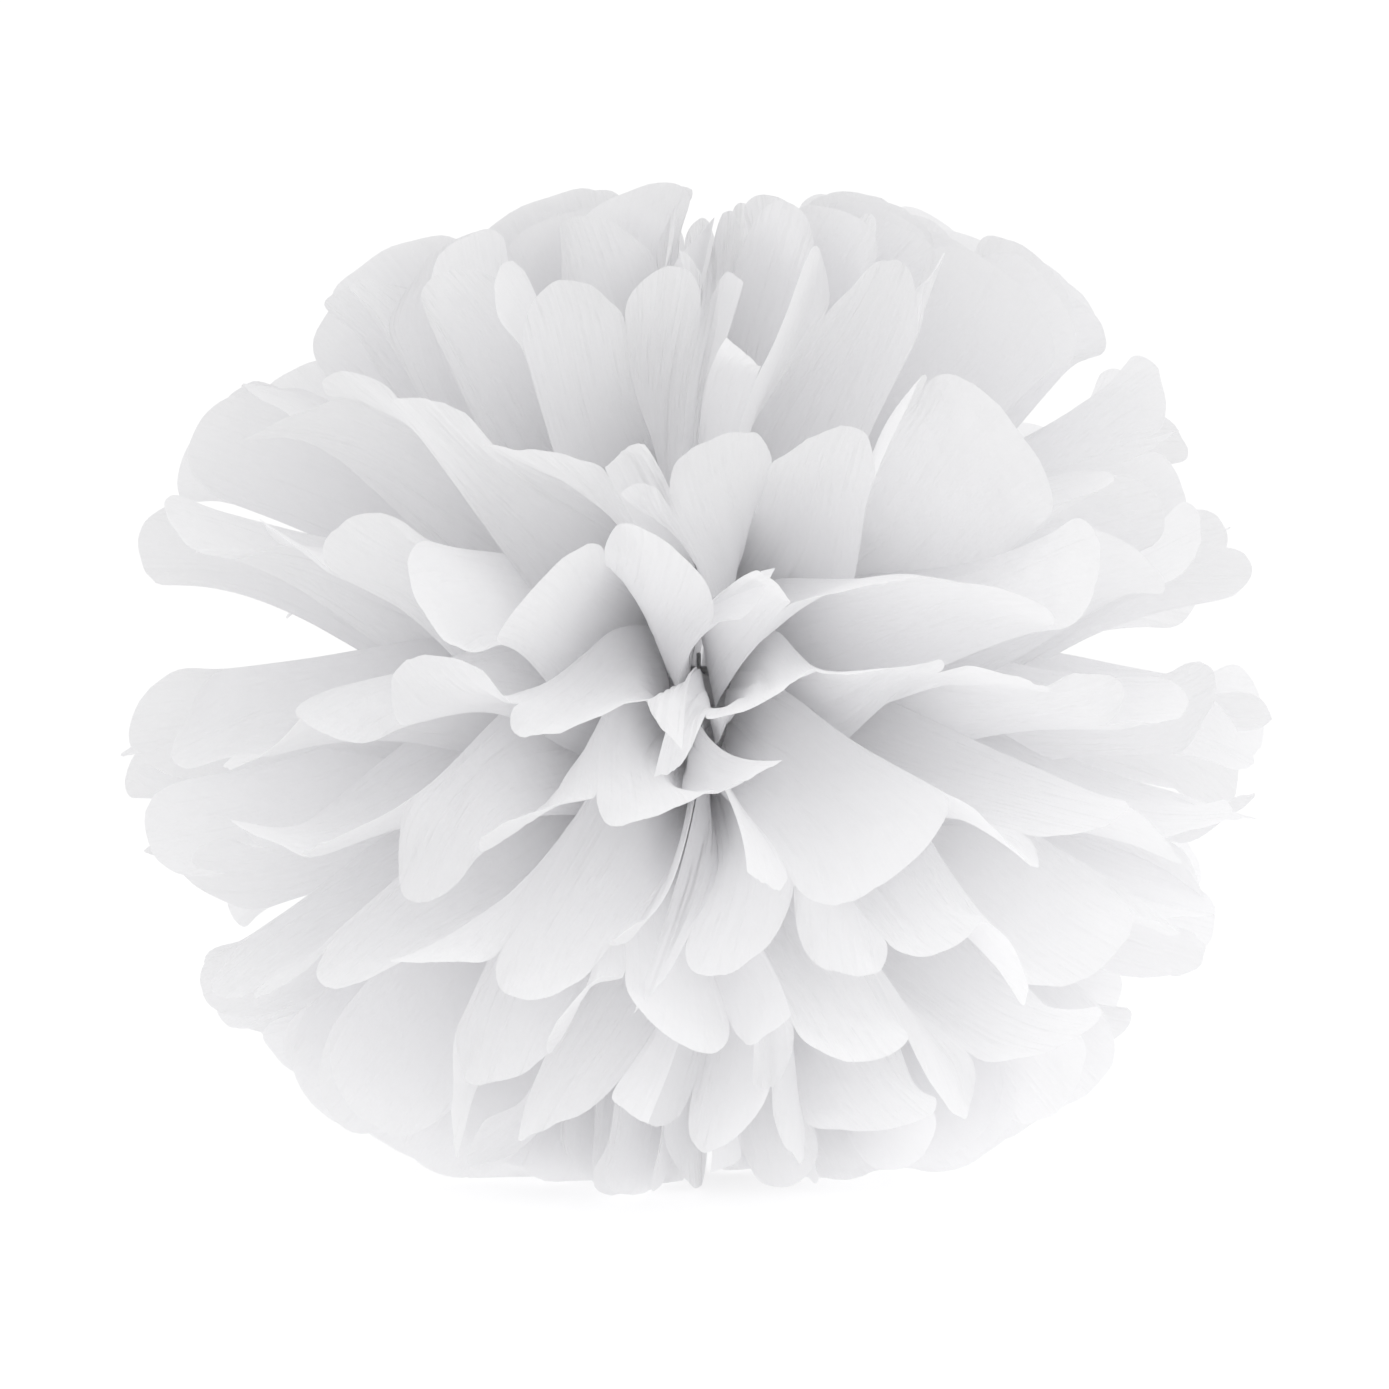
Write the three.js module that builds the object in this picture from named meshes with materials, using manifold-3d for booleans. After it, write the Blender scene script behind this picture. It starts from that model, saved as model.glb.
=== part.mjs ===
// Tissue paper pom pom, 250 mm across.
//
// Ten sheets of tissue, each 508 x 254 mm, are laid in a stack and pleated together like a fan, so that the pleats
// run along the 254 mm side. Both ends of the pleated bar are trimmed round and the bar is tied round its middle with
// wire. Each half of the bar then opens into a fan, and each sheet is pulled away from the next, up or down, until
// the rounded pleat ends, the petals, point every way and make a ball.
//
// X runs along the pleats where they pass through the tie, so the two fans open to -X and +X and meet in a seam that
// runs up the front (-Y) and the back (+Y). Z is the axis that the sheets are pulled apart along. A point on a sheet
// is found by its crease and by its reach, the distance from the tie. The origin is under the middle of the ball, on
// the surface that the lowest petals stand on.

import * as THREE from "three";
import { mergeVertices } from "three/addons/utils/BufferGeometryUtils.js";
import Module from "manifold-3d";

const { lerp, smoothstep, degToRad } = THREE.MathUtils;

// The paper, in millimetres.
const SHEET_LENGTH = 254;
const SHEET_WIDTH = 508;
const PLEAT = 31;
const FULL_PLEATS = Math.floor(SHEET_WIDTH / PLEAT);
const REMAINDER = SHEET_WIDTH - FULL_PLEATS * PLEAT; // the first pleat is the narrow strip that is left over
const PLEAT_WIDTHS = [REMAINDER, ...Array(FULL_PLEATS).fill(PLEAT)];
const CREASES = PLEAT_WIDTHS.length + 1;
const THICKNESS = 0.5;
const LEAST_FACING = 0.15; // how sharp a crease can be before its corner is blunted

// The waist, where the tie gathers the stack into a round bundle.
const WAIST_HALF_LENGTH = 3;
const BUNDLE_RADIUS = 7.6;
const SHEET_PITCH = 1.4;
const WAIST_LEFT_AT_RIM = 0.2; // the share of the waist's half length that still parts the two fans at their rims

// The ball.
const FULL_REACH = SHEET_LENGTH / 2 - WAIST_HALF_LENGTH;
const TURN_LOSS = 23; // reach lost by a petal that turns square to the pleated bar
const CENTRE_HEIGHT = 105;
const STANDING_DEPTH = 0.3; // how much of a lowest petal's tip is flattened where the ball stands on it
const TURN_REACH = 24; // by here a crease has turned from the bar's direction to its own
const GATHERED_REACH = 10; // up to here the pleats are crushed flat by the tie
const FOLD_REACH = 66; // by here they stand at their full height
const NESTED_REACH = 25; // up to here the sheets nest in each other as they were pleated
const FREE_REACH = 92; // from here each sheet has its own folds
const SEAM_GAP = degToRad(0.6);
const STEEPEST = 3; // how far a pleat rises at most, for each millimetre between its creases
const OPENED = 1.6; // how much more of the fan a pleat covers at its ends, where the folds open most, than midway
const UNEVEN = 0.1; // how much more or less one pleat covers than the next, as a share, in every sheet
const SHEET_UNEVEN = 0.03; // and how much more in one sheet alone

// The sheets from the bottom up: how high the petals point, how far the sheet leans and towards which azimuth, and
// how far its seam wanders at the front and the back, in degrees. Azimuth 0 is +X and -90 is the front.
const SHEETS = [
  { name: "tissue_sheet_01", elevation: -76, lean: 1.5, towards: -60, frontSeam: 0, backSeam: 0 },
  { name: "tissue_sheet_02", elevation: -59, lean: 2, towards: -60, frontSeam: -1.5, backSeam: 1 },
  { name: "tissue_sheet_03", elevation: -44, lean: 2.5, towards: -65, frontSeam: 1.5, backSeam: -1.5 },
  { name: "tissue_sheet_04", elevation: -30, lean: 3.5, towards: -70, frontSeam: -2, backSeam: 1.5 },
  { name: "tissue_sheet_05", elevation: -16, lean: 4.5, towards: -80, frontSeam: 2, backSeam: -2 },
  { name: "tissue_sheet_06", elevation: -2, lean: 4, towards: -90, frontSeam: -1.5, backSeam: 1.5 },
  { name: "tissue_sheet_07", elevation: 14, lean: 3, towards: -100, frontSeam: 2, backSeam: -2 },
  { name: "tissue_sheet_08", elevation: 31, lean: 2.5, towards: -110, frontSeam: -1.5, backSeam: 1.5 },
  { name: "tissue_sheet_09", elevation: 50, lean: 2, towards: -120, frontSeam: 1.5, backSeam: -1 },
  { name: "tissue_sheet_10", elevation: 70, lean: 1.5, towards: -120, frontSeam: 0, backSeam: 0 },
];
const STACK_ELEVATION = degToRad(30); // the folds that all the sheets share near the tie are laid out at this one

// The tie.
const WIRE_RADIUS = 0.6;
const TIE_RADIUS = 9.7;
const TAIL_LENGTH = 16;
const TAIL_TURNS = 2.5;

const sum = (values) => values.reduce((total, value) => total + value, 0);

// Repeatable random numbers from 0 to 1.
function randomFrom(seed) {
  let state = seed;
  return () => {
    state = (1664525 * state + 1013904223) % 4294967296;
    return state / 4294967296;
  };
}

// One fan's creases: the azimuth that each runs out to, and how far it stands above or below the sheet's middle
// surface. A pleat keeps its width, so the less of the arc it covers the more it stands up.
function layCreases(uneven, elevation, front, back) {
  const arc = FULL_REACH * Math.cos(elevation) * (back - front);
  const wanted = PLEAT_WIDTHS.map((width, i) => {
    const along = Math.abs((2 * i + 1) / PLEAT_WIDTHS.length - 1);
    return width * uneven[i] * lerp(1, OPENED, along ** 2);
  });
  const covers = wanted.map((cover) => (cover * arc) / sum(wanted));
  const azimuths = [front];
  const heights = [0];
  covers.forEach((cover, i) => {
    const rise = Math.sqrt(Math.max(PLEAT_WIDTHS[i] ** 2 - cover ** 2, 0));
    azimuths.push(azimuths[i] + (cover / arc) * (back - front));
    heights.push(heights[i] + (i % 2 ? rise : -rise));
  });
  const mean = sum(heights) / CREASES;
  return { azimuths, heights: heights.map((height) => height - mean) };
}

// A fan is one sheet's half, on the +X side (side 1) or the -X side (side -1). Its azimuths are as if it were on +X.
function makeFan(sheet, index, side) {
  const front = degToRad(-90 + side * sheet.frontSeam) + SEAM_GAP;
  const back = degToRad(90 - side * sheet.backSeam) - SEAM_GAP;
  const elevation = degToRad(sheet.elevation);
  const random = randomFrom(1000 + 20 * index + side);
  const uneven = stackUneven.map((share) => share * lerp(1 - SHEET_UNEVEN, 1 + SHEET_UNEVEN, random()));
  return { sheet, index, side, elevation, ...layCreases(uneven, elevation, front, back) };
}

const stackRandom = randomFrom(7);
const stackUneven = PLEAT_WIDTHS.map(() => lerp(1 - UNEVEN, 1 + UNEVEN, stackRandom()));
const stackFolds = layCreases(stackUneven, STACK_ELEVATION, degToRad(-90) + SEAM_GAP, degToRad(90) - SEAM_GAP);

// The direction that a crease runs in, and the direction square to it that its height is measured along.
function heading(fan, crease, reach) {
  const own = smoothstep(reach, NESTED_REACH, FREE_REACH);
  const turned = smoothstep(reach, 0, TURN_REACH);
  const azimuth = lerp(stackFolds.azimuths[crease], fan.azimuths[crease], own);
  const around = fan.side > 0 ? azimuth : Math.PI - azimuth;
  const lean = degToRad(fan.sheet.lean) * Math.cos(around - degToRad(fan.sheet.towards));
  const elevation = fan.elevation + lean;
  const a = azimuth * turned;
  const e = elevation * turned;
  return {
    elevation,
    along: new THREE.Vector3(Math.cos(e) * Math.cos(a), Math.cos(e) * Math.sin(a), Math.sin(e)),
    across: new THREE.Vector3(-Math.sin(e) * Math.cos(a), -Math.sin(e) * Math.sin(a), Math.cos(e)),
  };
}

// How far a crease stands off at this reach. Crowded folds stand no steeper than keeps a sheet clear of itself, and
// those that lean in to the ball's axis stop short of it.
function foldHeight(fan, crease, reach, elevation) {
  const own = smoothstep(reach, NESTED_REACH, FREE_REACH);
  const height = lerp(stackFolds.heights[crease], fan.heights[crease], own);
  const full = height * lerp(0.015, 1, smoothstep(reach, GATHERED_REACH, FOLD_REACH));
  const spacing = (2 * bundleHalfWidth(fan.index) + Math.PI * reach * Math.cos(elevation)) / PLEAT_WIDTHS.length;
  const steepest = (STEEPEST / 2) * spacing;
  const toAxis = 0.5 + (0.8 * reach) / Math.max(Math.abs(Math.tan(elevation)), 0.01);
  const room = full * elevation < 0 ? steepest : Math.min(steepest, toAxis);
  return Math.sign(full) * Math.min(Math.abs(full), room);
}

// The height of a sheet in the bundle at the waist, and half its width there.
const bundleHeight = (index) => (index - (SHEETS.length - 1) / 2) * SHEET_PITCH;
const bundleHalfWidth = (index) => Math.sqrt(BUNDLE_RADIUS ** 2 - bundleHeight(index) ** 2);

// A point on a crease, with the middle of the tie at the origin.
function creasePoint(fan, crease, reach) {
  const z = bundleHeight(fan.index);
  const halfWidth = bundleHalfWidth(fan.index);
  const gap = WAIST_HALF_LENGTH * lerp(1, WAIST_LEFT_AT_RIM, smoothstep(reach, TURN_REACH, FREE_REACH));
  const { elevation, along, across } = heading(fan, crease, reach);
  const point = new THREE.Vector3(gap, halfWidth * ((2 * crease) / (CREASES - 1) - 1), z)
    .addScaledVector(along, reach)
    .addScaledVector(across, foldHeight(fan, crease, reach, elevation));
  point.x *= fan.side;
  return point;
}

// A point on the pleat after a crease, t of the way across it. Pleats are straight across.
function pleatPoint(fan, pleat, t, reach) {
  return creasePoint(fan, pleat, reach).lerp(creasePoint(fan, pleat + 1, reach), t);
}

// How far a pleat's petal reaches. The lowest sheet's petals end on the surface that the ball stands on.
function petalReach(fan, pleat) {
  const first = heading(fan, pleat, FULL_REACH).along;
  const second = heading(fan, pleat + 1, FULL_REACH).along;
  const along = first.lerp(second, 0.5).normalize();
  const reach = FULL_REACH - TURN_LOSS * (1 - along.x);
  if (fan.index > 0) return reach;
  const tip = pleatPoint(fan, pleat, 0.5, reach);
  return reach - (tip.z + CENTRE_HEIGHT + STANDING_DEPTH) / along.z;
}

// The trimmed end of a pleat: points from its first crease to its second on a half circle as wide as a full pleat.
// The remainder has only the part of the half circle next to its second crease.
function trimmedEnd(pleat) {
  const start = 1 - (2 * PLEAT_WIDTHS[pleat]) / PLEAT;
  const steps = pleat === 0 ? [0, 0.5, 1] : [0, 0.19, 0.5, 0.81, 1];
  return steps.map((t) => {
    const across = lerp(start, 1, t);
    return { t, short: (PLEAT / 2) * (1 - Math.sqrt(Math.max(1 - across * across, 0))) };
  });
}

const ROW_REACHES = [0, 14, 34, 58, 80];

// The sheet's middle surface, as points and triangles that face up where the sheet lies flat.
function middleSurface(sheet, index) {
  const points = [];
  const triangles = [];
  const add = (point) => points.push(point) - 1;
  const face = (side, ...corners) => {
    const order = side > 0 ? corners : corners.reverse();
    for (let i = 2; i < order.length; i += 1) triangles.push([order[0], order[i - 1], order[i]]);
  };
  const waist = [1, -1].map((side) => {
    const fan = makeFan(sheet, index, side);
    const rows = Array.from({ length: CREASES }, (_, crease) =>
      ROW_REACHES.map((reach) => add(creasePoint(fan, crease, reach))),
    );
    const reaches = PLEAT_WIDTHS.map((_, pleat) => petalReach(fan, pleat));
    const notches = rows.map((_, crease) => {
      const before = reaches[Math.max(crease - 1, 0)];
      const after = reaches[Math.min(crease, reaches.length - 1)];
      const trimmed = crease === 0 ? trimmedEnd(0)[0].short : PLEAT / 2;
      return add(creasePoint(fan, crease, (before + after) / 2 - trimmed));
    });
    for (let pleat = 0; pleat < reaches.length; pleat += 1) {
      const [a, b] = [rows[pleat], rows[pleat + 1]];
      for (let row = 1; row < a.length; row += 1) face(side, a[row - 1], a[row], b[row], b[row - 1]);
      const rim = trimmedEnd(pleat)
        .slice(1, -1)
        .map(({ t, short }) => add(pleatPoint(fan, pleat, t, reaches[pleat] - short)));
      const tip = rim[Math.floor(rim.length / 2)];
      const [lastA, lastB] = [a.at(-1), b.at(-1)];
      const left = [notches[pleat], ...rim.slice(0, Math.floor(rim.length / 2))];
      const right = [...rim.slice(Math.floor(rim.length / 2) + 1), notches[pleat + 1]];
      face(side, lastA, ...left, tip);
      face(side, lastA, tip, lastB);
      face(side, lastB, tip, ...right);
    }
    return rows.map((row) => row[0]);
  });
  for (let crease = 1; crease < CREASES; crease += 1) {
    face(1, waist[1][crease - 1], waist[0][crease - 1], waist[0][crease], waist[1][crease]);
  }
  return { points, triangles };
}

// The two of a point's face normals that differ most: at a crease, those of the pleats on its two sides.
function widestPair(normals) {
  let pair = [normals[0], normals[0]];
  let least = 1;
  for (const one of normals) {
    for (const other of normals) {
      if (one.dot(other) >= least) continue;
      least = one.dot(other);
      pair = [one, other];
    }
  }
  return pair;
}

// The closed solid of a sheet: its middle surface moved half the thickness each way, with walls along its edges.
// At a sharp crease the surfaces move further, so that the pleats beside it keep their thickness.
function thicken({ points, triangles }) {
  const around = points.map(() => []);
  const flat = new THREE.Triangle();
  for (const corners of triangles) {
    flat.set(...corners.map((corner) => points[corner]));
    const normal = flat.getNormal(new THREE.Vector3());
    for (const corner of corners) around[corner].push(normal);
  }
  const shift = around.map((normals) => {
    const [one, other] = widestPair(normals);
    const between = one.clone().add(other).normalize();
    return between.multiplyScalar(THICKNESS / 2 / Math.max(between.dot(one), LEAST_FACING));
  });
  const positions = [1, -1].flatMap((way) =>
    points.flatMap((point, i) => point.clone().addScaledVector(shift[i], way).toArray()),
  );
  const below = points.length;
  const edges = new Map();
  for (const [a, b, c] of triangles) {
    for (const [from, to] of [[a, b], [b, c], [c, a]]) {
      if (!edges.delete(`${to},${from}`)) edges.set(`${from},${to}`, [from, to]);
    }
  }
  const index = [
    ...triangles.flat(),
    ...triangles.flatMap(([a, b, c]) => [a + below, c + below, b + below]),
    ...[...edges.values()].flatMap(([a, b]) => [b, a, a + below, b, a + below, b + below]),
  ];
  const geometry = new THREE.BufferGeometry();
  geometry.setAttribute("position", new THREE.Float32BufferAttribute(positions, 3));
  geometry.setIndex(index);
  geometry.computeVertexNormals();
  return geometry;
}

// A closed geometry as a solid that can be cut and joined, and back again.
const wasm = await Module();
wasm.setup();

function toSolid(geometry) {
  geometry.deleteAttribute("normal");
  geometry.deleteAttribute("uv");
  const merged = mergeVertices(geometry, 1e-4);
  return new wasm.Manifold(
    new wasm.Mesh({
      numProp: 3,
      vertProperties: merged.attributes.position.array,
      triVerts: new Uint32Array(merged.index.array),
    }),
  );
}

function toGeometry(solid) {
  const made = solid.getMesh();
  const geometry = new THREE.BufferGeometry();
  geometry.setAttribute("position", new THREE.BufferAttribute(made.vertProperties, 3));
  geometry.setIndex(new THREE.BufferAttribute(made.triVerts, 1));
  geometry.computeVertexNormals();
  return geometry;
}

// The lowest sheet with its tips flattened by the surface that they stand on.
function standOn(geometry) {
  const depth = 20;
  const surface = new THREE.BoxGeometry(2 * SHEET_LENGTH, 2 * SHEET_LENGTH, depth);
  surface.translate(0, 0, -CENTRE_HEIGHT - depth / 2);
  return toGeometry(toSolid(geometry).subtract(toSolid(surface)));
}

// One of the two strands of the tie's twisted tail.
class Strand extends THREE.Curve {
  constructor(phase) {
    super();
    this.phase = phase;
  }

  getPoint(t, target = new THREE.Vector3()) {
    const angle = this.phase + 2 * Math.PI * TAIL_TURNS * t;
    const offset = 0.9 * WIRE_RADIUS;
    return target.set(offset * Math.cos(angle), TIE_RADIUS + TAIL_LENGTH * t, offset * Math.sin(angle));
  }
}

// The wire tie: a ring round the bundle, with its ends twisted together into a tail that lies in the back seam.
function makeTie() {
  const ring = new THREE.TorusGeometry(TIE_RADIUS, WIRE_RADIUS, 6, 24).rotateY(Math.PI / 2);
  const section = new THREE.Shape().absarc(0, 0, WIRE_RADIUS, 0, 2 * Math.PI);
  const strands = [0, Math.PI].map(
    (phase) =>
      new THREE.ExtrudeGeometry(section, {
        steps: 8 * TAIL_TURNS,
        curveSegments: 6,
        bevelEnabled: false,
        extrudePath: new Strand(phase),
      }),
  );
  const [whole, ...rest] = [ring, ...strands].map(toSolid);
  return toGeometry(rest.reduce((joined, piece) => joined.add(piece), whole));
}

const tissue = new THREE.MeshStandardMaterial({
  color: 0xf1f0f5,
  roughness: 0.85,
  metalness: 0,
  side: THREE.DoubleSide,
});
const coatedWire = new THREE.MeshStandardMaterial({ color: 0xe9e9ea, roughness: 0.45, metalness: 0 });

const ball = new THREE.Group();
SHEETS.forEach((sheet, index) => {
  const geometry = thicken(middleSurface(sheet, index));
  const mesh = new THREE.Mesh(index === 0 ? standOn(geometry) : geometry, tissue);
  mesh.name = sheet.name;
  ball.add(mesh);
});
const tie = new THREE.Mesh(makeTie(), coatedWire);
tie.name = "wire_tie";
ball.add(tie);

// The ball is set down with the middle of its box over the origin.
const box = new THREE.Box3().setFromObject(ball, true);
const middle = box.getCenter(new THREE.Vector3());
ball.position.set(-middle.x, -middle.y, -box.min.z);

const pomPom = new THREE.Group();
pomPom.add(ball);

export default pomPom;
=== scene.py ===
"""Tissue paper pom pom: its looks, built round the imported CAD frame.

Each of the ten sheets is one fine mesh that replaces its CAD solid. A point on a sheet is found by
its panel, which is one pleat, by how far it is across that panel, and by its reach, the distance
from the tie. Lengths are in millimetres, with the middle of the tie as the origin, until a mesh is
made. Angles are in radians inside the functions and in degrees in the tables.
"""

import math

import bpy
import numpy as np
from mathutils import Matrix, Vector


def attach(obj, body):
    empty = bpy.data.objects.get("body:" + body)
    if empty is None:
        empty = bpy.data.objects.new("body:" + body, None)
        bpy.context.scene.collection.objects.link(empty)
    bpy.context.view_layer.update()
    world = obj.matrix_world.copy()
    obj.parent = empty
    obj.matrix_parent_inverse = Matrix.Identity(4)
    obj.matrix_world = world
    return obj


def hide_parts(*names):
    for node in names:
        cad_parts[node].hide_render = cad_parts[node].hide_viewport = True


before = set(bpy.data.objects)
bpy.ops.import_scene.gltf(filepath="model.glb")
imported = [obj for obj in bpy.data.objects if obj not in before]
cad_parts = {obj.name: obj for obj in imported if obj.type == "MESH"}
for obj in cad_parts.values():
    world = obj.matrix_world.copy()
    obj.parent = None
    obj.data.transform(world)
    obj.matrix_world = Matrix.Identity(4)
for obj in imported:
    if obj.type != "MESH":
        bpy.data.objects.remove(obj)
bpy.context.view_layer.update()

MM = 0.001

# The paper.
SHEET_LENGTH = 254.0
SHEET_WIDTH = 508.0
PLEAT = 31.0
FULL_PLEATS = int(SHEET_WIDTH // PLEAT)
REMAINDER = SHEET_WIDTH - FULL_PLEATS * PLEAT
PLEAT_WIDTHS = np.array([REMAINDER] + [PLEAT] * FULL_PLEATS)
PANELS = len(PLEAT_WIDTHS)
TRIM_RADIUS = PLEAT / 2

# The waist, where the tie gathers the stack into a round bundle.
WAIST_HALF_LENGTH = 3.0
BUNDLE_RADIUS = 7.6
SHEET_PITCH = 1.4

# The ball. A pleat loses reach where it turns away from the bundle. At the seam the two halves of a
# sheet overlap, and part by an angle in degrees.
FULL_REACH = SHEET_LENGTH / 2 - WAIST_HALF_LENGTH
TURN_LOSS = 23.0
CENTRE_HEIGHT = 105.0
SEAM_OVERLAP = 4.0
SEAM_PARTING = 2.2
BALL_SHAPE = [1.02, 1.0, 0.98]
WARP = 5.0
WARP_SPACING = 62.0
LOWEST_POINT = 0.4

# The folds. A cover is the share of its width that a pleat covers along the rim.
OPEN_COVER = 0.96
TIGHT_COVER = 0.12
OPENING_POWERS = np.arange(1.5, 12, 0.25)
FLATTENED_COVERS = (0.3, 0.8)
RIM_FLATNESS = 0.42
FRONT_FOLDS = 0.85
WAIST_FOLDS = 0.06
AXIS_ROOM = (1, 0.9)
LEAST_TANGENT = 0.01
ROUNDING = (0.1, 0.7)
UNEVEN = (0.85, 1.15)
STACK_SEED = 7
STACK_ELEVATION = math.radians(30)

# How a thing comes in with reach: none of it up to the first reach, and all of it from the second.
TURNED = (0, 24)
UNCRUSHED = (0, 30)
OWN_AZIMUTHS = (30, 105)
OWN_FOLDS = (25, 90)
FLATTENED = (45, 105)
ROUNDED = (40, 115)
BULGED = (25, 110)
LIFTED = (35, 125)
WAVED = (20, 125)
LEVELLED = (15, 75)
FRONT_RAISED = (5, 60)
WAIST_CLOSED = (4, 30)
WARPED = (20, 100)
WRINKLED = (0, 14)
SMOOTHED = (15, 95)

# The same with azimuth, from the side of a fan to its ends at the seam.
FRONT_CALM = (-0.35, -1.1)
FRONT_RISING = (-0.3, -1.1)
SEAM_RISING = (0.5, 1.4)
SEAM_PARTED = (1.15, 1.5)

# Each petal's own unevenness: lifts in degrees, bulges and notches in millimetres, bends and twists
# as slopes. The waves run round the sheet, each with a number of crests and a size in degrees.
CREASE_LIFT = 3.0
BULGE = 2.2
NOTCH_UNEVENNESS = 1.2
TIP_BEND = 0.38
MOST_TIP_BEND = 0.8
TWIST = 0.2
WAVES = ((1, 2.0), (2, 1.4), (3, 1.4), (6, 2.0), (9, 1.6))
CURL_REACH = 120
BEND_LENGTH = 16
FREE_DISTANCE = (0, 12)
RAGGED_EDGE = 0.5

# The wrinkles: their height near the tie and at the rim, and how many there are across a pleat.
WRINKLE_HEIGHTS = (1.35, 0.36)
WRINKLES = 7.3
WRINKLE_LENGTHS = (38.0, 17.0)
FINE_WRINKLES = 0.35

# The looks of the paper. Each layer of noise has its scales across and along the pleats and its
# detail. Each bump has its distance in metres and its strength.
PAPER_DENSE = (0.963, 0.962, 0.972, 1)
PAPER_THIN = (0.984, 0.982, 0.99, 1)
PAPER_ROUGHNESS = 0.8
PAPER_SPECULAR = 0.2
SEE_THROUGH = 0.66
CRINKLES = ((95, 60, 1), 2)
STREAKS = ((420, 14, 1), 1)
FIBRES = ((1500, 900, 1), 0)
CRINKLE_BUMP = (0.0016, 0.6)
STREAK_BUMP = (0.0006, 0.7)
FIBRE_BUMP = (0.00015, 0.4)

# The looks of the wire's coating.
COATING_DARK = (0.70, 0.70, 0.71, 1)
COATING_LIGHT = (0.86, 0.86, 0.87, 1)
COATING_ROUGHNESS = (0.3, 0.6)
SCUFFS = ((900, 900, 900), 4)
SCUFF_BUMP = (0.0001, 0.3)

# The stage, light and camera. The lamp's place is in metres.
WHITE = (1, 1, 1, 1)
FLOOR_GREY = (0.7, 0.7, 0.7, 1)
FLOOR_ROUGHNESS = 0.9
FLOOR_SPECULAR = 0.1
STAGE_HALF_WIDTH = 12.0
FLOOR_GLOW = 0.55
WORLD_LIGHT = 0.69
BACKGROUND = 1.06
RIGHT_LAMP = 5
RIGHT_LAMP_PLACE = (1.2, -0.5, 0.7)
RIGHT_LAMP_SIZE = 0.9
VIEW_GAMMA = 1.48
DIFFUSE_BOUNCES = 8
BOUNCES = 10
LENS = 112.5
CAMERA_DISTANCE = 950
CAMERA_ELEVATION = 3
CAMERA_TARGET = (-1, 0, 106)
SENSOR_WIDTH = 36

# How fine the mesh is, for each panel, and how much its columns crowd towards the creases.
COLUMNS = 28
ROWS = 50
CROWDING = 0.85

# The sheets from the bottom up. Elevation, lean, the azimuth that the sheet leans towards, its curl
# towards the rim, and how far it rises at the seam and at the front are in degrees. How far the
# seam wanders at the front and the back is in millimetres. Azimuth -90 is the front.
SHEETS = [
    {"elevation": -76, "lean": 1.5, "towards": -60, "curl": 3, "front": 6, "back": -5,
     "crumple": 3.2, "seam_rise": -5},
    {"elevation": -59, "lean": 2.0, "towards": -60, "curl": 3, "front": -14, "back": 10,
     "crumple": 1.7},
    {"elevation": -44, "lean": 2.5, "towards": -65, "curl": 2, "front": 16, "back": -13,
     "crumple": 1.3},
    {"elevation": -30, "lean": 3.5, "towards": -70, "curl": 0, "front": -17, "back": 12,
     "crumple": 1.8},
    {"elevation": -16, "lean": 4.5, "towards": -80, "curl": -2, "front": 14, "back": -16,
     "crumple": 1.3, "front_folds": 0.7, "front_rise": 1},
    {"elevation": -2, "lean": 4.0, "towards": -90, "curl": -3, "front": -10, "back": 12,
     "crumple": 1.5, "front_folds": 0.2, "front_rise": 4.5},
    {"elevation": 14, "lean": 3.0, "towards": -100, "curl": -2, "front": 16, "back": -14,
     "crumple": 0.8},
    {"elevation": 31, "lean": 2.5, "towards": -110, "curl": -1, "front": -15, "back": 12,
     "crumple": 1.3},
    {"elevation": 50, "lean": 2.0, "towards": -120, "curl": -1, "front": 12, "back": -10,
     "crumple": 1.2, "seam_rise": 5},
    {"elevation": 70, "lean": 1.5, "towards": -120, "curl": 0, "front": -8, "back": 7,
     "crumple": 2.7, "seam_rise": 10},
]


def smoothstep(low, high, x):
    t = np.clip((x - low) / (high - low), 0, 1)
    return t * t * (3 - 2 * t)


def lerp(a, b, t):
    return a + (b - a) * t


# ---------------------------------------------------------------- noise

def lattice(seed, *cells):
    """A repeatable random value from -1 to 1 for each whole-numbered cell."""
    mask = np.uint64(0xFFFFFFFF)
    n = np.full(np.shape(cells[0]), (seed * 2654435761) & 0xFFFFFFFF, np.uint64)
    for cell, factor in zip(cells, (374761393, 668265263, 2147483647)):
        whole = (cell.astype(np.int64) & 0xFFFFFFFF).astype(np.uint64)
        n = (n + whole * np.uint64(factor)) & mask
        n = ((n ^ (n >> np.uint64(13))) * np.uint64(1274126177)) & mask
    n = n ^ (n >> np.uint64(16))
    return n.astype(float) / 2**31 - 1


def noise(seed, *coords):
    """Smooth value noise from -1 to 1 in two or three dimensions."""
    whole = [np.floor(c) for c in coords]
    part = [c - w for c, w in zip(coords, whole)]
    part = [p * p * (3 - 2 * p) for p in part]
    total = 0
    for corner in np.ndindex(*(2,) * len(coords)):
        weight = 1
        for p, side in zip(part, corner):
            weight = weight * (p if side else 1 - p)
        cells = (w + side for w, side in zip(whole, corner))
        total = total + weight * lattice(seed, *cells)
    return total


# ---------------------------------------------------------------- the folded sheet

REACH_TABLE = np.linspace(0, 140, 141)


def cover_shares(arc):
    """Each pleat's cover: most at the fan's ends, where the folds lie open."""
    along = np.abs((2 * np.arange(PANELS) + 1) / PANELS - 1)
    for power in OPENING_POWERS:
        opened = along**power
        total = (PLEAT_WIDTHS * opened).sum()
        least = (arc - OPEN_COVER * total) / (SHEET_WIDTH - total)
        if least >= TIGHT_COVER:
            break
    return lerp(least, OPEN_COVER, opened)


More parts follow.
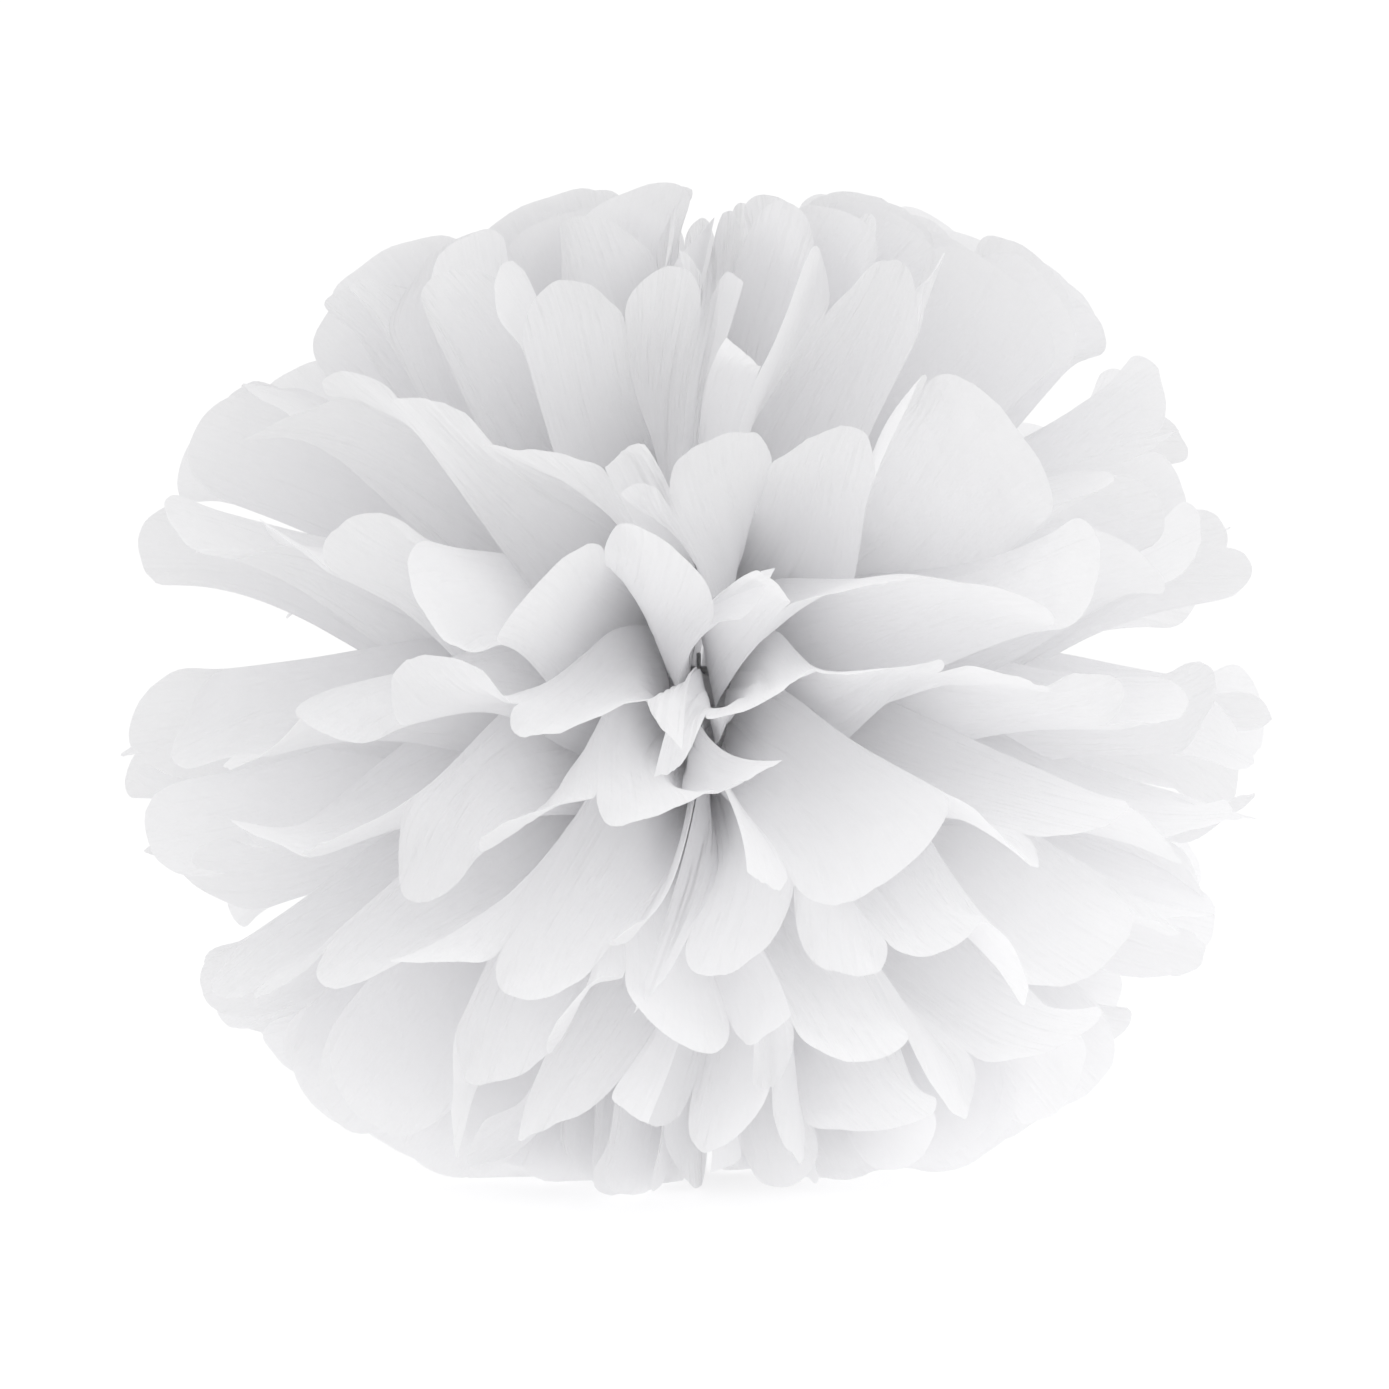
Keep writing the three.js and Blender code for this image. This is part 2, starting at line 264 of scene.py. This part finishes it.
def lay_creases(uneven, elevation, front, back):
    """Each crease's azimuth and, for each reach in the table, its height off the sheet's middle."""
    arc = FULL_REACH * math.cos(elevation) * (back - front)
    covers = PLEAT_WIDTHS * cover_shares(arc) * uneven
    covers = covers * arc / covers.sum()
    covered = np.concatenate([[0], np.cumsum(covers)])
    azimuths = front + (back - front) * covered / arc
    shrunk = covers[:, None] * REACH_TABLE / FULL_REACH
    rises = np.sqrt(np.maximum(PLEAT_WIDTHS[:, None] ** 2 - shrunk**2, 0))
    opened = smoothstep(*FLATTENED_COVERS, covers / PLEAT_WIDTHS)[:, None]
    rises = rises * lerp(1, lerp(1, RIM_FLATNESS, opened), smoothstep(*FLATTENED, REACH_TABLE))
    beside = np.concatenate([rises[:1], rises, rises[-1:]])
    signs = np.where(np.arange(PANELS + 1) % 2, -1, 1)[:, None]
    return azimuths, signs * (beside[:-1] + beside[1:]) / 4


STACK_UNEVEN = np.random.default_rng(STACK_SEED).uniform(*UNEVEN, PANELS)
STACK_AZIMUTHS, STACK_HEIGHTS = lay_creases(
    STACK_UNEVEN, STACK_ELEVATION, -math.pi / 2, math.pi / 2)


def trimmed_profile(panel, t):
    """How far the trimmed end stands out past the notches, across a panel."""
    if panel == 0:
        from_crease = (1 - t) * REMAINDER
        return np.sqrt(np.maximum(TRIM_RADIUS**2 - (TRIM_RADIUS - from_crease) ** 2, 0))
    return TRIM_RADIUS * np.sqrt(np.maximum(1 - (2 * t - 1) ** 2, 0))


def spaced_columns(panel):
    """Places across a panel that are evenly spaced along its trimmed end."""
    s = np.linspace(0, 1, COLUMNS + 1)
    if panel == 0:
        return np.sin(s * math.pi / 2)
    return lerp(s, (1 - np.cos(math.pi * s)) / 2, CROWDING)


class Fan:
    """One sheet's half, on the +X side (side 1) or the -X side (side -1).

    Its azimuths are those of a fan on the +X side.
    """

    def __init__(self, index, side):
        sheet = SHEETS[index]
        rng = np.random.default_rng(100 + 10 * index + (side > 0))
        self.index = index
        self.side = side
        self.elevation = math.radians(sheet["elevation"])
        self.lean = math.radians(sheet["lean"])
        self.towards = math.radians(sheet["towards"])
        self.curl = math.radians(sheet["curl"])
        self.crumple = sheet["crumple"]
        self.seam_rise = math.radians(sheet.get("seam_rise", 0))
        self.front_rise = math.radians(sheet.get("front_rise", 0))
        circle = FULL_REACH * math.cos(self.elevation)
        front = -math.pi / 2 + (side * sheet["front"] - SEAM_OVERLAP) / circle
        back = math.pi / 2 - (side * sheet["back"] - SEAM_OVERLAP) / circle
        uneven = STACK_UNEVEN * rng.uniform(*UNEVEN, PANELS)
        self.azimuths, heights = lay_creases(uneven, self.elevation, front, back)
        front_folds = sheet.get("front_folds", FRONT_FOLDS)
        in_front = smoothstep(*FRONT_CALM, self.azimuths)
        levelled = in_front[:, None] * smoothstep(*LEVELLED, REACH_TABLE)
        self.heights = heights * lerp(1, front_folds, levelled)
        calm = lerp(1, min(1, 2 * front_folds), in_front)
        self.crease_lift = np.radians(rng.normal(0, CREASE_LIFT, PANELS + 1)) * calm
        self.bulge = rng.normal(0, BULGE, PANELS)
        self.tip_bend = np.clip(rng.normal(0, TIP_BEND, PANELS), -MOST_TIP_BEND, MOST_TIP_BEND)
        self.twist = rng.normal(0, TWIST, PANELS)
        self.waves = [
            (crests, math.radians(rng.normal(0, size)), rng.uniform(0, 2 * math.pi))
            for crests, size in WAVES
        ]
        facing = np.cos(self.elevation) * np.cos(self.azimuths)
        self.notches = (
            FULL_REACH - TURN_LOSS * (1 - facing) - TRIM_RADIUS
            + rng.normal(0, NOTCH_UNEVENNESS, PANELS + 1)
        )

    def grid(self, panel):
        """Across the panel, from 0 to 1, and reach, for each column and row of its mesh."""
        t = spaced_columns(panel)[:, None]
        end = lerp(self.notches[panel], self.notches[panel + 1], t) + trimmed_profile(panel, t)
        own_row = np.full_like(t, self.side * 3.3)
        end = end + RAGGED_EDGE * noise(900 + self.index, t * 7 + panel * 9.0, own_row)
        reach = end * np.linspace(0, 1, ROWS + 1)[None, :]
        return np.broadcast_to(t, reach.shape), reach

    def azimuth(self, panel, t, reach):
        own = smoothstep(*OWN_AZIMUTHS, reach)
        first = lerp(STACK_AZIMUTHS[panel], self.azimuths[panel], own)
        second = lerp(STACK_AZIMUTHS[panel + 1], self.azimuths[panel + 1], own)
        return lerp(first, second, t)

    def elevation_at(self, panel, t, reach, azimuth):
        around = azimuth if self.side > 0 else math.pi - azimuth
        rising = smoothstep(*WAVED, reach)
        lift = lerp(self.crease_lift[panel], self.crease_lift[panel + 1], t)
        lift = lift * smoothstep(*LIFTED, reach)
        lift = lift + self.lean * np.cos(around - self.towards)
        lift = lift + self.curl * (reach / CURL_REACH) ** 2
        for crests, size, phase in self.waves:
            lift = lift + size * np.cos(crests * around + phase) * rising
        lift = lift + self.seam_rise * smoothstep(*SEAM_RISING, np.abs(azimuth)) * rising
        in_front = smoothstep(*FRONT_RISING, azimuth)
        lift = lift + self.front_rise * in_front * smoothstep(*FRONT_RAISED, reach)
        seam = smoothstep(*SEAM_PARTED, np.abs(azimuth))
        parting = self.side * math.radians(SEAM_PARTING)
        lift = lift + parting * seam * np.sign(azimuth) * rising
        return self.elevation + lift

    def crease_height(self, crease, reach, elevation):
        """Folds are crushed near the tie. Those that lean in stop short of the ball's axis."""
        own = smoothstep(*OWN_FOLDS, reach)
        stack = np.interp(reach, REACH_TABLE, STACK_HEIGHTS[crease])
        mine = np.interp(reach, REACH_TABLE, self.heights[crease])
        full = lerp(stack, mine, own) * lerp(WAIST_FOLDS, 1, smoothstep(*UNCRUSHED, reach))
        clearance, share = AXIS_ROOM
        slope = np.maximum(np.abs(np.tan(elevation)), LEAST_TANGENT)
        room = clearance + share * reach / slope
        inward = full * elevation > 0
        return np.where(inward, np.sign(full) * np.minimum(np.abs(full), room), full)

    def fold_height(self, panel, t, reach, elevation):
        rounding = lerp(*ROUNDING, smoothstep(*ROUNDED, reach))
        shaped = t + rounding * ((1 - np.cos(math.pi * t)) / 2 - t)
        first = self.crease_height(panel, reach, elevation)
        second = self.crease_height(panel + 1, reach, elevation)
        bulge = self.bulge[panel] * np.sin(math.pi * t) * smoothstep(*BULGED, reach)
        return lerp(first, second, shaped) + bulge

    def free_bend(self, panel, t, reach):
        """A petal is free past its notches, so it bends and twists by itself.

        Returns how far that lifts it, and how much reach the bend takes.
        """
        notch = lerp(self.notches[panel], self.notches[panel + 1], t)
        width = PLEAT_WIDTHS[panel]
        from_crease = np.minimum(t, 1 - t) * width if panel else (1 - t) * width
        free = smoothstep(*FREE_DISTANCE, np.hypot(from_crease, np.maximum(reach - notch, 0)))
        past = np.maximum(reach - notch + BEND_LENGTH, 0)
        span = TRIM_RADIUS + BEND_LENGTH
        bent = self.tip_bend[panel] * past**2 / (2 * span)
        twisted = self.twist[panel] * (t - 0.5) * width * past / span
        shorter = self.tip_bend[panel] ** 2 * past**3 / (6 * span**2)
        return free * (bent + twisted), free * shorter

    def wrinkles(self, panel, t, reach):
        """Fine creases that run out from the tie, strongest where the paper is gathered."""
        u = (panel + t) * WRINKLES
        seed = 31 * self.index + self.side + 400
        long, short = WRINKLE_LENGTHS
        ridges = 1 - 2 * np.abs(noise(seed, u, reach / long))
        finer = noise(seed + 9, u * 2.1, reach / short)
        gathered, smooth = WRINKLE_HEIGHTS
        size = lerp(gathered * self.crumple, smooth, smoothstep(*SMOOTHED, reach))
        size = size * smoothstep(*WRINKLED, reach)
        return (ridges + FINE_WRINKLES * finer) * size * np.sin(math.pi * t) ** 0.7

    def points(self, panel):
        t, reach = self.grid(panel)
        azimuth = self.azimuth(panel, t, reach)
        elevation = self.elevation_at(panel, t, reach, azimuth)
        bend, shorter = self.free_bend(panel, t, reach)
        height = self.fold_height(panel, t, reach, elevation) + bend
        height = height + self.wrinkles(panel, t, reach)
        turned = smoothstep(*TURNED, reach)
        a = azimuth * turned
        e = elevation * turned
        along = np.stack([np.cos(e) * np.cos(a), np.cos(e) * np.sin(a), np.sin(e)], -1)
        across = np.stack([-np.sin(e) * np.cos(a), -np.sin(e) * np.sin(a), np.cos(e)], -1)
        z = (self.index - (len(SHEETS) - 1) / 2) * SHEET_PITCH
        half_width = math.sqrt(BUNDLE_RADIUS**2 - z**2)
        gap = WAIST_HALF_LENGTH * lerp(1, 0.1, smoothstep(*WAIST_CLOSED, reach))
        sideways = half_width * (2 * (panel + t) / PANELS - 1)
        start = np.stack([gap, sideways, np.full_like(reach, z)], -1)
        at = start + along * (reach - shorter)[..., None] + across * height[..., None]
        at[..., 0] *= self.side
        return at


def warp(points):
    """Bends the ball a little, so that it isn't quite round. Neighbouring sheets bend together."""
    far = smoothstep(*WARPED, np.linalg.norm(points, axis=-1))[..., None]
    cells = np.moveaxis(points, -1, 0) / WARP_SPACING
    moved = [noise(50 + axis, *(cells + 9.3 * axis)) for axis in range(3)]
    return (points + WARP * far * np.stack(moved, -1)) * BALL_SHAPE


def stand_on_surface(points):
    """The lowest tips lie on the surface that the ball stands on."""
    points[..., 2] = np.maximum(points[..., 2], LOWEST_POINT - CENTRE_HEIGHT)
    return points


def sheet_mesh(name, index):
    vertices = []
    faces = []
    paper = []
    waist = {}
    for side in (1, -1):
        fan = Fan(index, side)
        ids = np.zeros((PANELS, COLUMNS + 1, ROWS + 1), int)
        count = len(vertices)
        for panel in range(PANELS):
            at = stand_on_surface(warp(fan.points(panel)))
            t, reach = fan.grid(panel)
            start = PLEAT_WIDTHS[:panel].sum()
            for column in range(COLUMNS + 1):
                if panel and column == 0:
                    ids[panel, 0] = ids[panel - 1, COLUMNS]
                    continue
                ids[panel, column] = np.arange(count, count + ROWS + 1)
                vertices.extend(at[column].tolist())
                across = start + t[column] * PLEAT_WIDTHS[panel]
                along = SHEET_LENGTH / 2 + side * (reach[column] + WAIST_HALF_LENGTH)
                paper.extend(np.stack([across, along], -1).tolist())
                count += ROWS + 1
        a = ids[:, :-1, :-1].ravel()
        b = ids[:, 1:, :-1].ravel()
        c = ids[:, 1:, 1:].ravel()
        d = ids[:, :-1, 1:].ravel()
        faces.extend(np.stack([a, d, c, b] if side > 0 else [a, b, c, d], -1).tolist())
        waist[side] = np.concatenate([ids[:, :-1, 0].ravel(), ids[-1:, -1, 0]]).tolist()
    for k in range(len(waist[1]) - 1):
        faces.append([waist[1][k], waist[1][k + 1], waist[-1][k + 1], waist[-1][k]])
    mesh = bpy.data.meshes.new(name)
    placed = (np.array(vertices) + [0, 0, CENTRE_HEIGHT]) * MM
    mesh.from_pydata(placed.tolist(), [], faces)
    mesh.polygons.foreach_set("use_smooth", np.ones(len(mesh.polygons), bool))
    loops = np.zeros(len(mesh.loops), int)
    mesh.loops.foreach_get("vertex_index", loops)
    layer = mesh.uv_layers.new(name="paper")
    layer.data.foreach_set("uv", (np.array(paper)[loops] / SHEET_WIDTH).ravel())
    mesh.update()
    piece = bpy.data.objects.new(name, mesh)
    bpy.context.scene.collection.objects.link(piece)
    return piece


# ---------------------------------------------------------------- materials

def new_material(name):
    material = bpy.data.materials.new(name)
    material.use_nodes = True
    nodes = material.node_tree.nodes
    nodes.clear()
    return material, nodes, material.node_tree.links, nodes.new("ShaderNodeOutputMaterial")


def stretched_noise(nodes, links, coords, scale, detail):
    """Noise with its own size along each axis of the coordinates."""
    mapping = nodes.new("ShaderNodeMapping")
    mapping.inputs["Scale"].default_value = scale
    texture = nodes.new("ShaderNodeTexNoise")
    texture.inputs["Scale"].default_value = 1
    texture.inputs["Detail"].default_value = detail
    links.new(coords, mapping.inputs["Vector"])
    links.new(mapping.outputs["Vector"], texture.inputs["Vector"])
    return texture.outputs["Fac"]


def bump_node(nodes, links, height, distance, strength, below=None):
    bump = nodes.new("ShaderNodeBump")
    bump.inputs["Strength"].default_value = strength
    bump.inputs["Distance"].default_value = distance
    links.new(height, bump.inputs["Height"])
    if below is not None:
        links.new(below, bump.inputs["Normal"])
    return bump.outputs["Normal"]


def tissue_material():
    """Thin white paper that lets light through, with soft crinkles, faint streaks and fibres."""
    material, nodes, links, out = new_material("white_tissue")
    mix = nodes.new("ShaderNodeMixShader")
    surface = nodes.new("ShaderNodeBsdfPrincipled")
    through = nodes.new("ShaderNodeBsdfTranslucent")
    paper = nodes.new("ShaderNodeUVMap")
    paper.uv_map = "paper"
    streaks = stretched_noise(nodes, links, paper.outputs["UV"], *STREAKS)
    crinkles = stretched_noise(nodes, links, paper.outputs["UV"], *CRINKLES)
    fibres = stretched_noise(nodes, links, paper.outputs["UV"], *FIBRES)
    normal = bump_node(nodes, links, crinkles, *CRINKLE_BUMP)
    normal = bump_node(nodes, links, streaks, *STREAK_BUMP, normal)
    normal = bump_node(nodes, links, fibres, *FIBRE_BUMP, normal)
    clouds = nodes.new("ShaderNodeValToRGB")
    clouds.color_ramp.elements[0].color = PAPER_DENSE
    clouds.color_ramp.elements[1].color = PAPER_THIN
    links.new(crinkles, clouds.inputs["Fac"])
    links.new(clouds.outputs["Color"], surface.inputs["Base Color"])
    links.new(clouds.outputs["Color"], through.inputs["Color"])
    surface.inputs["Roughness"].default_value = PAPER_ROUGHNESS
    surface.inputs["Specular IOR Level"].default_value = PAPER_SPECULAR
    mix.inputs["Fac"].default_value = SEE_THROUGH
    links.new(normal, surface.inputs["Normal"])
    links.new(normal, through.inputs["Normal"])
    links.new(surface.outputs["BSDF"], mix.inputs[1])
    links.new(through.outputs["BSDF"], mix.inputs[2])
    links.new(mix.outputs["Shader"], out.inputs["Surface"])
    return material


def wire_material():
    """White plastic coating, a little scuffed and uneven."""
    material, nodes, links, out = new_material("coated_wire")
    surface = nodes.new("ShaderNodeBsdfPrincipled")
    coords = nodes.new("ShaderNodeTexCoord")
    scuffs = stretched_noise(nodes, links, coords.outputs["Object"], *SCUFFS)
    shade = nodes.new("ShaderNodeValToRGB")
    shade.color_ramp.elements[0].color = COATING_DARK
    shade.color_ramp.elements[1].color = COATING_LIGHT
    dull = nodes.new("ShaderNodeMapRange")
    dull.inputs["To Min"].default_value, dull.inputs["To Max"].default_value = COATING_ROUGHNESS
    links.new(scuffs, shade.inputs["Fac"])
    links.new(scuffs, dull.inputs["Value"])
    links.new(shade.outputs["Color"], surface.inputs["Base Color"])
    links.new(dull.outputs["Result"], surface.inputs["Roughness"])
    links.new(bump_node(nodes, links, scuffs, *SCUFF_BUMP), surface.inputs["Normal"])
    links.new(surface.outputs["BSDF"], out.inputs["Surface"])
    return material


def floor_material():
    """A white table lit from within, as under a product photograph."""
    material, nodes, links, out = new_material("white_table")
    surface = nodes.new("ShaderNodeBsdfPrincipled")
    surface.inputs["Base Color"].default_value = FLOOR_GREY
    surface.inputs["Roughness"].default_value = FLOOR_ROUGHNESS
    surface.inputs["Specular IOR Level"].default_value = FLOOR_SPECULAR
    surface.inputs["Emission Color"].default_value = WHITE
    surface.inputs["Emission Strength"].default_value = FLOOR_GLOW
    links.new(surface.outputs["BSDF"], out.inputs["Surface"])
    return material


# ---------------------------------------------------------------- the object

tissue = tissue_material()
for number in range(len(SHEETS)):
    piece = sheet_mesh(f"petals_{number + 1:02d}", number)
    piece.data.materials.append(tissue)
    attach(piece, "root")
    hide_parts(f"tissue_sheet_{number + 1:02d}")
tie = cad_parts["wire_tie"]
tie.data.materials.clear()
tie.data.materials.append(wire_material())


# ---------------------------------------------------------------- stage, light and camera

def make_stage():
    size = STAGE_HALF_WIDTH
    corners = [(-size, -size, 0), (size, -size, 0), (size, size, 0), (-size, size, 0)]
    mesh = bpy.data.meshes.new("floor")
    mesh.from_pydata(corners, [], [(0, 1, 2, 3)])
    floor = bpy.data.objects.new("floor", mesh)
    bpy.context.scene.collection.objects.link(floor)
    floor.data.materials.append(floor_material())


def aimed(thing, place, target):
    thing.location = place
    thing.rotation_euler = (Vector(target) - Vector(place)).to_track_quat("-Z", "Y").to_euler()
    bpy.context.scene.collection.objects.link(thing)


def add_lamp(name, place, size, power):
    data = bpy.data.lights.new(name, "AREA")
    data.shape = "DISK"
    data.size = size
    data.energy = power
    aimed(bpy.data.objects.new(name, data), place, (0, 0, CENTRE_HEIGHT * MM))


def make_light():
    world = bpy.data.worlds.new("studio")
    world.use_nodes = True
    nodes, links = world.node_tree.nodes, world.node_tree.links
    soft = nodes["Background"]
    behind = nodes.new("ShaderNodeBackground")
    for shader, strength in ((soft, WORLD_LIGHT), (behind, BACKGROUND)):
        shader.inputs["Color"].default_value = WHITE
        shader.inputs["Strength"].default_value = strength
    path = nodes.new("ShaderNodeLightPath")
    mix = nodes.new("ShaderNodeMixShader")
    links.new(path.outputs["Is Camera Ray"], mix.inputs["Fac"])
    links.new(soft.outputs["Background"], mix.inputs[1])
    links.new(behind.outputs["Background"], mix.inputs[2])
    links.new(mix.outputs["Shader"], nodes["World Output"].inputs["Surface"])
    bpy.context.scene.world = world
    add_lamp("right", RIGHT_LAMP_PLACE, RIGHT_LAMP_SIZE, RIGHT_LAMP)


def make_camera():
    data = bpy.data.cameras.new("camera")
    data.lens = LENS
    data.sensor_width = SENSOR_WIDTH
    camera = bpy.data.objects.new("camera", data)
    target = Vector(CAMERA_TARGET) * MM
    elevation = math.radians(CAMERA_ELEVATION)
    outwards = Vector((0, -math.cos(elevation), math.sin(elevation)))
    place = target + CAMERA_DISTANCE * MM * outwards
    aimed(camera, place, target)
    bpy.context.scene.camera = camera


make_stage()
make_light()
make_camera()
scene = bpy.context.scene
scene.view_settings.view_transform = "Standard"
scene.view_settings.gamma = VIEW_GAMMA
scene.cycles.diffuse_bounces = DIFFUSE_BOUNCES
scene.cycles.transmission_bounces = BOUNCES
scene.cycles.max_bounces = BOUNCES
